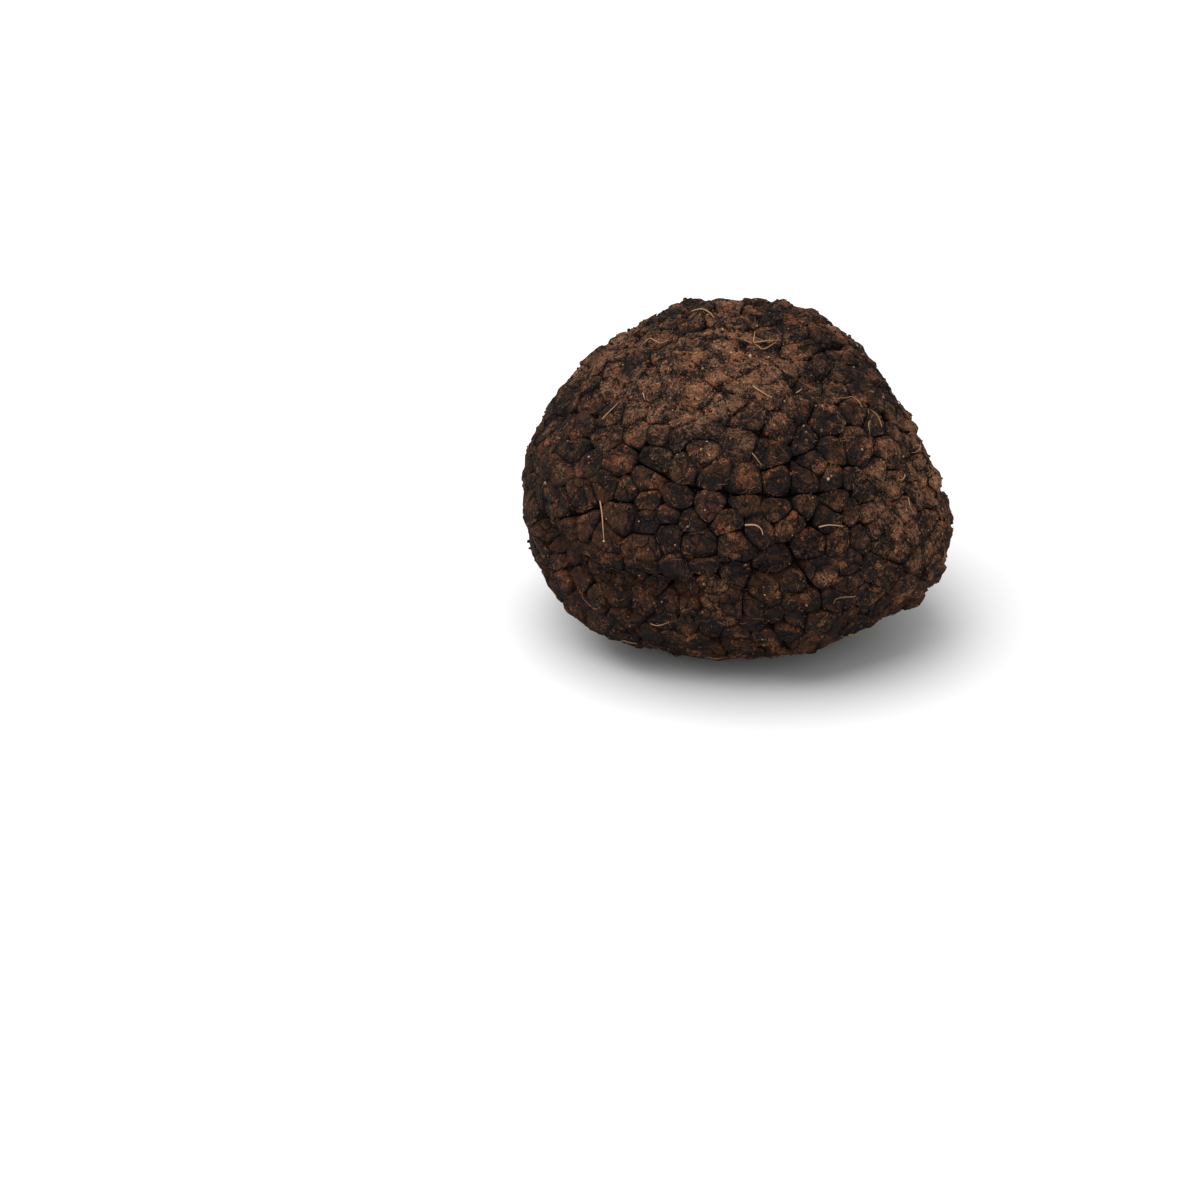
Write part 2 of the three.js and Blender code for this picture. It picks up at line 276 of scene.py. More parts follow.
class Graph:
    """A material and its nodes."""

    def __init__(self, name):
        self.material = bpy.data.materials.new(name)
        self.material.use_nodes = True
        self.tree = self.material.node_tree
        self.tree.nodes.clear()

    def node(self, kind, settings, inputs):
        """Adds any node, from its type, its settings and the values or links of its sockets."""
        node = self.tree.nodes.new(kind)
        for key, value in settings.items():
            setattr(node, key, value)
        for key, value in inputs.items():
            if isinstance(value, Socket):
                self.tree.links.new(value.output, node.inputs[key])
            else:
                node.inputs[key].default_value = value
        return node

    def value(self, kind, settings, inputs, output=0):
        return Socket(self, self.node(kind, settings, inputs).outputs[output])

    def math(self, operation, a, b):
        return self.value("ShaderNodeMath", {"operation": operation}, {0: a, 1: b})

    def place(self):
        return self.value("ShaderNodeTexCoord", {}, {}, "Object")

    def attribute(self, name):
        return self.value("ShaderNodeAttribute", {"attribute_name": name}, {}, "Fac")

    def noise(self, place, size, detail=4.0, roughness=0.6):
        """Cloudy noise from 0 to 1, whose clouds are about the size given, in metres."""
        inputs = {"Vector": place, "Scale": 1 / size, "Detail": detail, "Roughness": roughness}
        return self.value("ShaderNodeTexNoise", {}, inputs)

    def threads(self, place, size, width):
        """1 along thin winding lines about size apart, and 0 between them."""
        off = self.math("ABSOLUTE", self.noise(place, size, 2.0, 0.5) - 0.5, 0.0)
        return 1 - self.step(off, 0.0, width)

    def strands(self, place, width, stretch):
        """Noise drawn out along three directions: the highest of the three at each place."""
        highest = None
        for turn in ((0.0, 0.6, 0.4), (0.3, -0.5, 1.5), (0.5, 1.5, 2.6)):
            inputs = {"Vector": place, "Rotation": turn, "Scale": (stretch, 1, 1)}
            along = self.value("ShaderNodeMapping", {"vector_type": "TEXTURE"}, inputs)
            drawn = self.noise(along, width, 1.0, 0.5)
            highest = drawn if highest is None else self.math("MAXIMUM", highest, drawn)
        return highest

    def shifted(self, place, size, distance):
        """The place, moved about by noise."""
        inputs = {"Vector": place, "Scale": 1 / size, "Detail": 2.0}
        colour = self.value("ShaderNodeTexNoise", {}, inputs, 1)
        inputs = {0: colour, 1: (0.5, 0.5, 0.5)}
        middle = self.value("ShaderNodeVectorMath", {"operation": "SUBTRACT"}, inputs)
        return self.value("ShaderNodeVectorMath", {"operation": "MULTIPLY_ADD"},
                          {0: middle, 1: (distance, distance, distance), 2: place})

    def cell_edges(self, place, size):
        """How far each place is from the nearest edge between cells of about the size given."""
        inputs = {"Vector": place, "Scale": 1 / size}
        return self.value("ShaderNodeTexVoronoi", {"feature": "DISTANCE_TO_EDGE"}, inputs)

    def step(self, value, low, high):
        """0 below low and 1 above high, with a soft step between them."""
        inputs = {"Value": value, "From Min": low, "From Max": high}
        return self.value("ShaderNodeMapRange", {"interpolation_type": "SMOOTHSTEP"}, inputs)

    def mix(self, factor, a, b):
        """A colour between the colours a and b."""
        a, b = [c if isinstance(c, Socket) else (*c, 1.0) for c in (a, b)]
        return self.value("ShaderNodeMix", {"data_type": "RGBA"}, {0: factor, 6: a, 7: b}, 2)

    def bump(self, height, distance, strength):
        inputs = {"Height": height, "Distance": distance, "Strength": strength}
        return self.value("ShaderNodeBump", {}, inputs)

    def finish(self, inputs):
        shader = self.node("ShaderNodeBsdfPrincipled", {}, inputs)
        output = self.node("ShaderNodeOutputMaterial", {}, {})
        self.tree.links.new(shader.outputs[0], output.inputs[0])
        return self.material


def rind_material(settings):
    """Near-black rind with a brown film, rust patches, red flecks, threads, soil dust and cracks, with
    painted shade in its pits and cracks and beside them, and dust and film laid thicker on raised,
    upward-facing places as painted light. Its attributes say how near the cracks are, how much dust there
    is, and how high and which way the rind lies."""
    g = Graph("rind")
    place = g.shifted(g.place(), 1.3 * MM, 0.7 * MM)
    plate, soil, step, high, lie = [g.attribute(name) for name in ("plate", "soil", "step", "high", "lie")]

    # Noise from broad patches to fine specks, winding threads, and hairline cracks
    patch = g.noise(place, 4.0 * MM, 3.0)
    lump = g.noise(place, 2.3 * MM, 4.0, 0.6)
    fleck = g.noise(place, 0.62 * MM, 5.0, 0.7)
    speck = g.noise(place, 0.24 * MM, 3.0, 0.6)
    reds = g.noise(place, 0.85 * MM, 6.0, 0.75)
    cluster = g.noise(place, 2.9 * MM, 3.0, 0.6)
    threads = g.threads(place, 0.95 * MM, 0.030) * 0.6 + g.threads(place, 0.5 * MM, 0.035) * 0.5
    shaken = g.shifted(place, 0.8 * MM, 0.6 * MM)
    fine_crack = g.step(g.cell_edges(shaken, 2.3 * MM), 0.0, 0.075)
    strand = g.strands(place, 0.17 * MM, 6)
    grain = lump * 0.28 + fleck * 0.42 + speck * 0.30
    cover = soil * 1.25 - 0.1 + (patch - 0.5) * 0.9
    edge = 1 - plate

    bare, umber, brick, dust, tan = [tuple(c) for c in (
        settings.bare_colour, settings.umber_colour, settings.brick_colour, settings.soil_colour,
        settings.tan_colour)]
    # A colour darker than the bare rind, painted into pits and cracks as shade
    painted_shade = scaled(bare, 0.25)
    orange = tuple(0.65 * a + 0.35 * b for a, b in zip(brick, dust))
    rust = scaled(brick, 0.4)

    # The brown film, with soil dust settled where it lies open, and a bloom of rust. The dust is laid
    # thickest on raised, upward-facing places and thinnest beside the cracks: dust, and also painted light
    # on the rises and painted shade beside the cracks
    fine = g.step(fleck * 0.35 + speck * 0.25 + strand * 0.40, 0.45, 0.64)
    film = g.mix(fine, scaled(umber, 0.6), scaled(umber, 1.5))
    dusted = g.mix(fine, scaled(umber, 1.3), dust)
    dust_and_painted_light = cover + high * 0.4 + lie * 0.7 - edge * 0.8 + (grain - 0.5) * 3.0 + (cluster - 0.5) * 1.0
    film = g.mix(g.step(dust_and_painted_light, 0.2, 1.0) * 0.9, film, dusted)
    film = g.mix(g.step(reds * 0.6 + strand * 0.4, 0.46, 0.60) * 0.4, film, rust)
    rusty = g.step(cluster * 0.65 + fleck * 0.35, 0.53, 0.60)
    film = g.mix(rusty * (0.35 + 0.45 * soil), film, g.mix(fine, rust, brick))

    # The film covers the bare rind in patches, least beside the cracks and on the downward-facing sides and
    # most on raised places, so the rind is also painted with shade beside the cracks and below and with
    # light on the rises
    film_and_painted_light = lump * 0.62 + fleck * 0.18 + strand * 0.20 + step * 0.03 + high * 0.08 + lie * 0.15
    film_and_painted_light = g.step(film_and_painted_light + cover * 0.025 - edge * (0.03 + soil * 0.22), 0.50, 0.56)
    colour = g.mix(film_and_painted_light, bare, film)

    # Red flecks, threads of dust and pale specks lie on both
    red = reds * 0.40 + strand * 0.35 + speck * 0.25 + (cluster - 0.5) * 0.8 + soil * 0.08
    reddest = g.mix(g.step(speck + cover * 0.1, 0.50, 0.68), brick, orange)
    colour = g.mix(g.step(red, 0.61, 0.69) * (0.65 + 0.3 * soil), colour, reddest)
    colour = g.mix(threads * (0.12 + 0.32 * g.step(cover, 0.0, 0.6)), colour, dust)
    pale = g.step(speck * 0.65 + fleck * 0.35 + (cluster - 0.5) * 0.3 + cover * 0.06, 0.630, 0.670)
    colour = g.mix(pale * 0.6, colour, tan)

    # Painted shade: pits, hairline cracks and the cracks between plates are darkened to a colour below the
    # bare rind's, where shade falls in them
    colour = g.mix((1 - g.step(grain, 0.37, 0.47)) * 0.4, colour, painted_shade)
    colour = g.mix((1 - fine_crack) * g.step(patch, 0.42, 0.55) * 0.85 * (1 - soil * 0.5), colour, painted_shade)
    colour = g.mix(1 - g.step(plate, 0.0, 0.36), colour, painted_shade)

    height = grain + strand * 0.25 + fine_crack * 0.2 + threads * 0.12
    glints = g.step(g.noise(place, 0.21 * MM, 1.0), 0.70, 0.76)
    return g.finish({
        "Base Color": colour,
        "Roughness": 0.95,
        "Specular IOR Level": 0.07,
        "Coat Weight": glints * 0.5,
        "Coat Roughness": 0.25,
        "Normal": g.bump(height, 0.75 * MM, 0.9),
    })


def soil_material(settings):
    """Crumbs of soil, each from dark brown to brick red or tan by its attribute tone."""
    g = Graph("soil")
    place = g.place()
    tone = g.attribute("tone")
    umber, brick, tan = [tuple(c) for c in (
        settings.umber_colour, settings.brick_colour, settings.tan_colour)]
    dark = scaled(umber, 0.4)
    colour = g.mix(g.step(tone, 0.0, 0.45), dark, umber)
    colour = g.mix(g.step(tone, 0.4, 0.75), colour, brick)
    colour = g.mix(g.step(tone, 0.86, 1.0), colour, tan)
    return g.finish({
        "Base Color": g.mix(g.step(g.noise(place, 0.2 * MM), 0.35, 0.6), dark, colour),
        "Roughness": 0.97,
        "Specular IOR Level": 0.1,
        "Normal": g.bump(g.noise(place, 0.16 * MM), 0.08 * MM, 0.7),
    })


def root_material(name, colour, darkest):
    """Dry rootlets and fibres, each from dark to pale by its attribute tone."""
    g = Graph(name)
    place = g.place()
    tone = g.attribute("tone") + (g.noise(place, 0.5 * MM, 3.0, 0.7) - 0.5) * 0.7
    pale = tuple(colour)
    dark = scaled(pale, darkest)
    return g.finish({
        "Base Color": g.mix(g.step(tone, 0.0, 1.0), dark, pale),
        "Roughness": 0.85,
        "Specular IOR Level": 0.15,
        "Normal": g.bump(g.noise(place, 0.12 * MM), 0.04 * MM, 0.5),
    })


def grain_material(settings):
    """Quartz and lime grains, from tan to nearly white, with a slight gleam."""
    g = Graph("sand")
    place = g.place()
    tone = g.noise(place, 2.5 * MM, 2.0)
    tan = tuple(settings.grain_colour)
    brown = (tan[0] * 0.5, tan[1] * 0.42, tan[2] * 0.34)
    return g.finish({
        "Base Color": g.mix(g.step(tone, 0.4, 0.6), brown, tan),
        "Roughness": 0.5 + g.noise(place, 0.2 * MM) * 0.3,
        "Specular IOR Level": 0.5,
        "Normal": g.bump(g.noise(place, 0.14 * MM), 0.05 * MM, 0.6),
    })


def floor_material(settings):
    g = Graph("floor")
    colour = tuple(settings.floor_colour)
    paler = tuple(min(1, 1.01 * c) for c in colour)
    return g.finish({
        "Base Color": g.mix(g.noise(g.place(), 40 * MM), colour, paler),
        "Roughness": 0.9,
        "Specular IOR Level": 0.1,
    })


def camera_place():
    across = (BODY_MIDDLE_PIXEL[0] - FRAME_PIXELS / 2) / PIXELS_PER_METRE
    down = (BODY_MIDDLE_PIXEL[1] - FRAME_PIXELS / 2) / PIXELS_PER_METRE
    return BODY_MIDDLE - FORWARD * CAMERA_DISTANCE - RIGHT * across + UP * down


def pixel_ray(pixel):
    """The direction in which the camera sees a pixel."""
    focal_pixels = PIXELS_PER_METRE * CAMERA_DISTANCE
    right = (pixel[0] - FRAME_PIXELS / 2) / focal_pixels
    up = (FRAME_PIXELS / 2 - pixel[1]) / focal_pixels
    return (FORWARD + RIGHT * right + UP * up).normalized()


def at_pixel(surface, pixel):
    """Where the camera sees the surface at a pixel, and the surface's normal there."""
    point, normal, _, _ = surface.ray_cast(camera_place(), pixel_ray(pixel))
    if point is None:
        raise RuntimeError(f"nothing of the truffle shows at pixel {pixel}")
    return point, normal


def in_direction(surface, heading):
    """Where the surface lies in a direction from the body's middle, and its normal there."""
    point, normal, _, _ = surface.ray_cast(BODY_MIDDLE + heading * OUTSIDE, -heading)
    if point is None:
        raise RuntimeError(f"the truffle has no surface in direction {tuple(heading)}")
    return point, normal


def direction(azimuth, elevation):
    a, e = math.radians(azimuth), math.radians(elevation)
    return Vector((math.cos(a) * math.cos(e), math.sin(a) * math.cos(e), math.sin(e)))


def random_heading(rng):
    z = rng.uniform(-1, 1)
    a = rng.uniform(0, 2 * math.pi)
    r = math.sqrt(1 - z * z)
    return Vector((r * math.cos(a), r * math.sin(a), z))


def select_only(obj):
    bpy.ops.object.select_all(action="DESELECT")
    obj.select_set(True)
    bpy.context.view_layer.objects.active = obj


def mesh_object(name, parts, material):
    """One smooth-shaded object made of parts, each with its points and faces in place and its tone."""
    points, faces, tones = [], [], []
    for part_points, part_faces, tone in parts:
        start = len(points)
        points.extend(part_points)
        faces.extend(tuple(start + i for i in face) for face in part_faces)
        tones.extend([tone] * len(part_points))
    mesh = bpy.data.meshes.new(name)
    mesh.from_pydata(points, [], faces)
    mesh.attributes.new("tone", "FLOAT", "POINT").data.foreach_set("value", tones)
    mesh.update()
    obj = bpy.data.objects.new(name, mesh)
    bpy.context.scene.collection.objects.link(obj)
    mesh.materials.append(material)
    select_only(obj)
    bpy.ops.object.shade_smooth()
    return obj


def surface_of(mesh):
    """A mesh in the form in which rays can be cast at it."""
    points = [v.co.copy() for v in mesh.vertices]
    faces = [tuple(p.vertices) for p in mesh.polygons]
    return BVHTree.FromPolygons(points, faces)


def rind_surface():
    skin = bpy.data.objects.get(SKIN)
    if skin is None:
        raise RuntimeError("the rind has to be built first")
    return surface_of(skin.data)


def soil_cover(point):
    """How thickly soil dust lies at a point of the rind, from 0 to 1."""
    heading = (point - BODY_MIDDLE).normalized()
    cover = 0.0
    for azimuth, elevation, spread, amount in SOIL_PATCHES:
        away = math.degrees(heading.angle(direction(azimuth, elevation))) / spread
        cover += amount * math.exp(-away * away)
    cloud = noise.fractal(point / DUST_SIZE, 1.0, 2.0, 4)
    return min(1.0, max(0.0, cover + 0.55 * cloud))


def mean(values):
    return sum(values) / len(values)


def from_middle(vertex):
    """How far a vertex lies from the body's middle."""
    return (vertex.co - BODY_MIDDLE).length


def mark_grooves(mesh):
    """Joins the wall triangles of the warts into quads and creases the warts' edges. It stores for each
    point its share of the wart's height, the groove's depth beside it, the dome's height and the plate's
    step, and for each face the number of its plate."""
    bm = bmesh.new()
    bm.from_mesh(mesh)
    plate, depth, dome, step, corner = [
        bm.verts.layers.float.new(name) for name in ("plate", "depth", "dome", "step", "crease_vert")]
    crease = bm.edges.layers.float.new("crease_edge")
    group = bm.faces.layers.int.new("group")
    rng = random.Random(PLATE_DRAWS)
    seeds = [random_heading(rng) for _ in range(PLATE_SEEDS)]
    own_steps = [rng.uniform(-1, 1) for _ in seeds]

    grooves = {v for v in bm.verts if len(v.link_edges) >= GROOVE_NEIGHBOURS}
    ring = {v: [e.other_vert(v) for e in v.link_edges] for v in bm.verts}
    for v in grooves:
        shoulders = [w for w in ring[v] if w not in grooves]
        v[depth] = max(0.0, mean([from_middle(w) for w in shoulders]) - from_middle(v))
    for v in bm.verts:
        if v in grooves:
            continue
        v[plate] = 1.0
        beside = [w[depth] for w in ring[v] if w in grooves]
        if beside:
            v[depth] = mean(beside)
            v[corner] = PLATE_CREASE
            continue
        v[dome] = max(0.0, from_middle(v) - mean([from_middle(w) for w in ring[v]]))
        nearest = max(range(PLATE_SEEDS), key=lambda k: seeds[k].dot(v.co - BODY_MIDDLE))
        for w in (v, *ring[v]):
            w[step] = own_steps[nearest]
            for face in w.link_faces:
                face[group] = nearest

    # A wall is two triangles, and the edge that they share is dissolved once the creases are set
    diagonals = set()
    for face in bm.faces:
        if sum(v in grooves for v in face.verts) == 2:
            diagonals.update(loop.edge for loop in face.loops if loop.vert not in grooves)
    for edge in bm.edges:
        low = sum(v in grooves for v in edge.verts)
        beside = [sum(v in grooves for v in face.verts) for face in edge.link_faces]
        if low == 2:
            edge[crease] = 1.0
        elif low == 0 and max(beside) > 0:
            edge[crease] = PLATE_CREASE
    bmesh.ops.dissolve_edges(bm, edges=[e for e in bm.edges if e in diagonals], use_verts=False)
    bm.to_mesh(mesh)
    bm.free()


def slit_ends(surface):
    return [at_pixel(surface, pixel)[0] for pixel in SLIT_PIXELS]


def distance_to_segment(point, a, b):
    along = b - a
    share = min(1.0, max(0.0, (point - a).dot(along) / along.length_squared))
    return (point - a - along * share).length


def stored(mesh, name):
    values = [0.0] * len(mesh.vertices)
    mesh.attributes[name].data.foreach_get("value", values)
    return values


def store(mesh, name, values):
    if name not in mesh.attributes:
        mesh.attributes.new(name, "FLOAT", "POINT")
    mesh.attributes[name].data.foreach_set("value", values)


def eased_step(value, low, high):
    """0 below low and 1 above high, with a soft step between them."""
    share = min(1.0, max(0.0, (value - low) / (high - low)))
    return share * share * (3 - 2 * share)


def groove_beside(mesh, plate):
    """For each point, the nearest point of a groove's line, and whether that groove lies within one plate
    (1) or between two plates (0)."""
    groups = [0] * len(mesh.polygons)
    mesh.attributes["group"].data.foreach_get("value", groups)
    beside = {}
    for face in mesh.polygons:
        for i in face.vertices:
            if plate[i] < 0.01:
                beside.setdefault(i, set()).add(groups[face.index])
    tree = KDTree(len(beside))
    for i in beside:
        tree.insert(mesh.vertices[i].co, i)
    tree.balance()
    found = []
    for i, vertex in enumerate(mesh.vertices):
        lines = tree.find_n(vertex.co, 3) if plate[i] < 0.99 else [(vertex.co, None, 0.0)]
        together = sum(k in beside and len(beside[k]) == 1 for _, k, _ in lines) / len(lines)
        found.append((lines[0][0].copy(), together))
    return found


def shape_rind(mesh, settings):
    """Narrows the grooves to cracks, fills some, lets them wander, gives the plates their relief, and
    stores what the rind's material reads."""
    noise.seed_set(WANDER_SEED)
    plate, depth, dome, step = [stored(mesh, name) for name in ("plate", "depth", "dome", "step")]
    slit = slit_ends(surface_of(mesh))
    calm_heading = direction(*CALM_PLACE)
    normals = [v.normal.copy() for v in mesh.vertices]
    beside = groove_beside(mesh, plate)
    soils, high = [], []
    for i, vertex in enumerate(mesh.vertices):
        p = vertex.co.copy()
        out = (p - BODY_MIDDLE).normalized()
        soil = soil_cover(p)
        soils.append(soil)
        t = plate[i]
        calm = math.exp(-(math.degrees(out.angle(calm_heading)) / CALM_SPREAD) ** 2)
        bold = eased_step(depth[i], *BOLD_DEPTHS)

        # Cracks: bold ones stay open, and those within one plate fill up
        filled = eased_step(noise.fractal(p / FILL_SIZE + FILL_SHIFT, 1.0, 2.0, 2), -0.05, 0.5)
        line, together = beside[i]
        filled = max(0.05 + 0.6 * filled * (1 - 0.4 * calm), 0.95 * together) * (1 - 0.9 * bold)
        steep = 1 - (1 - t) ** (6.5 + 1.6 * noise.noise(p / STEEPNESS_SIZE) - 2.0 * bold)
        lift = depth[i] * ((1 - t) - (1 - steep) * (1 - filled))
        lift -= settings.crack_depth * (1 - t) ** 4 * (1 - filled)

        # Plates: levelled domes, a step to each neighbour, swells, lumps and a crumbly surface
        lift -= settings.plate_flatness * dome[i] * (1 - 0.8 * soil)
        lift += settings.plate_steps * step[i] * steep * (1 - 0.7 * filled)
        swell = noise.fractal(p / SWELL_SIZE + FILL_SHIFT, 1.0, 2.0, 2)
        lift += settings.swells * swell
        uneven = 1.0 + 1.0 * soil - 0.7 * calm
        lump = noise.fractal(p / LUMP_SIZE, 0.8, 2.1, 4)
        lift += settings.lumps * uneven * lump
        # How raised the rind is: the material lays dust and film thicker there, painted light on the rises
        # and painted shade in the hollows besides the dust
        high.append(0.5 * swell + 0.7 * lump)
        crumbly = noise.ridged_multi_fractal(p / CRUMBLE_SIZE, 0.8, 2.2, 3, 1.0, 2.0) - 1.0
        lift += settings.crumbliness * (0.5 * crumbly + 0.8 * noise.noise(p / GRIT_SIZE)) * (0.4 + 0.6 * t)
        near_slit = distance_to_segment(p, *slit) / SLIT_WIDTH
        lift -= SLIT_DEPTH * math.exp(-near_slit * near_slit)

        # Sideways, the cracks wander and the plates' edges close in on them
        sideways = noise.noise_vector(p / WANDER_SIZE) * settings.crack_waviness
        sideways += noise.noise_vector(p / JITTER_SIZE) * settings.crack_waviness * 0.35
        sideways += (line - p) * CRACK_NARROWING * (1 - t) ** 1.5
        sideways -= out * sideways.dot(out)
        heading = (out * 0.75 + normals[i] * 0.25).normalized() if t > 0.3 else out
        vertex.co = p + heading * lift + sideways
        vertex.co.z = max(0.0, vertex.co.z)
        # Low in the open cracks and in the slit, where the material paints shade
        plate[i] = t + (1 - t) * filled
        if near_slit < 1:
            plate[i] = min(t, near_slit * 0.6)
    store(mesh, "plate", plate)
    store(mesh, "soil", soils)
    store(mesh, "high", high)
    for name in ("depth", "dome", "group"):
        mesh.attributes.remove(mesh.attributes[name])
    mesh.update()
    # How far the rind faces up: the material lays dust and film thicker where it does, painted light on the
    # upper faces and painted shade on the lower sides besides the dust
    store(mesh, "lie", [v.normal.z - (v.co - BODY_MIDDLE).normalized().z for v in mesh.vertices])


class TRUFFLE_OT_skin(bpy.types.Operator):
    """Makes the rind: the solid's warts, finely subdivided, with narrow wandering cracks between them"""

    bl_idname = "truffle.skin"
    bl_label = "Rind"

    def execute(self, context):
        settings = context.scene.truffle_rind
        skin = bpy.data.objects.new(SKIN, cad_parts["truffle"].data.copy())
        skin.data.name = SKIN
        context.scene.collection.objects.link(skin)
        select_only(skin)
        bpy.ops.object.mode_set(mode="EDIT")
        bpy.ops.mesh.select_all(action="SELECT")
        bpy.ops.mesh.remove_doubles(threshold=MERGE_DISTANCE)
        bpy.ops.object.mode_set(mode="OBJECT")
        mark_grooves(skin.data)
        finer = skin.modifiers.new("finer", "SUBSURF")
        finer.levels = finer.render_levels = SUBDIVISIONS
        bpy.ops.object.modifier_apply(modifier=finer.name)
        shape_rind(skin.data, settings)
        bpy.ops.object.shade_smooth()
        skin.data.materials.clear()
        skin.data.materials.append(rind_material(settings))
        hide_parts("truffle")
        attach(skin, "root")
        return {"FINISHED"}


def tube(points, radius, tip, sides):
    """The points and faces of a closed tube along a line, whose radius narrows to a share of it."""
    last = len(points) - 1
    ring_points, faces = [], []
    for k, point in enumerate(points):
        before, after = points[max(k - 1, 0)], points[min(k + 1, last)]
        thick = radius * (1 - (1 - tip) * (k / last) ** 1.5)
        along = (after - before).normalized()
        across = along.orthogonal().normalized()
        if k:
            across = (last_across - along * last_across.dot(along)).normalized()
        last_across = across
        other = along.cross(across)
        for s in range(sides):
            angle = 2 * math.pi * s / sides
            ring_points.append(point + (across * math.cos(angle) + other * math.sin(angle)) * thick)
    for k in range(last):
        for s in range(sides):
            t = (s + 1) % sides
            a, b = k * sides, (k + 1) * sides
            faces.append((a + s, a + t, b + t, b + s))
    faces.append(tuple(reversed(range(sides))))
    faces.append(tuple(range(len(ring_points) - sides, len(ring_points))))
    return ring_points, faces


def laid_line(surface, start, heading, length, steps, curl, rise, rng):
    """Points of a strand that sets off along the rind, wanders, and keeps the rise given above it."""
    points = []
    point, normal, _, _ = surface.find_nearest(start)
    along = (heading - normal * heading.dot(normal)).normalized()
    turn = rng.uniform(-curl, curl)
    for k in range(steps + 1):
        share = k / steps
        points.append(point + normal * (rise * (0.35 + 1.3 * math.sin(math.pi * share))))
        turn += rng.uniform(-curl, curl) * 0.5
        along = Matrix.Rotation(turn, 3, normal) @ along
        point, normal, _, _ = surface.find_nearest(point + along * (length / steps))
        along = (along - normal * along.dot(normal)).normalized()
    return points


def eased(points, steps):
    """A smooth line through a few points."""
    line = []
    last = len(points) - 1
    for k in range(last):
        p0, p1, p2, p3 = points[max(k - 1, 0)], points[k], points[k + 1], points[min(k + 2, last)]
        for s in range(steps):
            t = s / steps
            line.append(0.5 * (2 * p1 + (p2 - p0) * t + (2 * p0 - 5 * p1 + 4 * p2 - p3) * t * t
                               + (3 * p1 - p0 - 3 * p2 + p3) * t * t * t))
    line.append(points[-1])
    return line


def those_around(values, k, count):
    """Value number k and as many as count of those on each side of it."""
    return values[max(k - count, 0):k + count + 1]


def lie_along(surface, pixels, radius):
    """A line that the camera sees along the pixels, and that lies on the rind without sinking in."""
    line = eased([Vector(pixel) for pixel in pixels], 5)
    eye = camera_place()
    reaches = [(at_pixel(surface, pixel)[0] - eye).length for pixel in line]
    last = len(line) - 1
    nearest = [min(those_around(reaches, k, 2)) for k in range(last + 1)]
    even = [mean(those_around(nearest, k, 1)) for k in range(last + 1)]
    return [eye + pixel_ray(line[k]) * (even[k] - radius * (0.5 + math.sin(math.pi * k / last)))
            for k in range(last + 1)]


class TRUFFLE_OT_rootlets(bpy.types.Operator):
    """Lays thin dry rootlets on the rind: those that show in front, and others all round"""

    bl_idname = "truffle.rootlets"
    bl_label = "Rootlets"

    def execute(self, context):
        settings = context.scene.truffle_clutter
        surface = rind_surface()
        rng = random.Random(ROOTLET_DRAWS)
        parts = []
        for pixels, width in FRONT_ROOTLETS.values():
            radius = 0.5 * width * MM
            line = lie_along(surface, pixels, radius)
            parts.append((*tube(line, radius, 0.45, 6), rng.uniform(0.6, 1.0)))
        for _ in range(settings.rootlet_count):
            start, _ = in_direction(surface, random_heading(rng))
            if start.z < LOWEST_ROOTLET:
                continue
            radius = rng.uniform(0.06, 0.12) * MM
            length = rng.uniform(1.6, 5.5) * MM
            line = laid_line(surface, start, random_heading(rng), length, 5, 0.55, 1.4 * radius, rng)
            parts.append((*tube(eased(line, 4), radius, 0.4, 6), rng.uniform(0.1, 0.9)))
        rootlets = mesh_object("rootlets", parts, root_material("rootlet", settings.rootlet_colour, 0.35))
        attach(rootlets, "root")
        return {"FINISHED"}


class TRUFFLE_OT_fibres(bpy.types.Operator):
    """Scatters short brown fibres over the rind, most where soil lies"""

    bl_idname = "truffle.fibres"
    bl_label = "Fibres"

    def execute(self, context):
        settings = context.scene.truffle_clutter
        surface = rind_surface()
        rng = random.Random(FIBRE_DRAWS)
        parts = []
        tufts = []
        for pixel, reach in FRONT_TUFTS:
            tufts += [(at_pixel(surface, pixel)[0], reach * MM)] * FIBRES_IN_TUFT
        for middle, reach in tufts:
            start = middle + random_heading(rng) * reach * rng.random() ** 0.7
            length = rng.uniform(0.4, 1.3) * MM
            radius = 0.5 * settings.fibre_width * rng.uniform(0.5, 1.1)
            rise = rng.uniform(0.5, 4) * radius
            line = laid_line(surface, start, random_heading(rng), length, 4, 0.8, rise, rng)
            parts.append((*tube(line, radius, 0.3, 3), rng.uniform(0.3, 1.0)))
        while len(parts) < len(tufts) + settings.fibre_count:
            start, _ = in_direction(surface, random_heading(rng))
            tangled = max(0.0, noise.noise(start / (3.5 * MM)))
            if start.z < LOWEST_FIBRE or rng.random() > 0.12 + 0.45 * soil_cover(start) + 1.5 * tangled:
                continue
            length = rng.uniform(0.35, 1.1) * MM * (2.2 if rng.random() < 0.1 else 1.0)
            radius = 0.5 * settings.fibre_width * rng.uniform(0.5, 1.2)
            rise = rng.uniform(0.5, 2.5) * radius
            line = laid_line(surface, start, random_heading(rng), length, 3, 0.6, rise, rng)
            parts.append((*tube(line, radius, 0.3, 3), rng.random() ** 1.4))
        fibres = mesh_object("fibres", parts, root_material("fibre", settings.fibre_colour, 0.22))
        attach(fibres, "root")
        return {"FINISHED"}


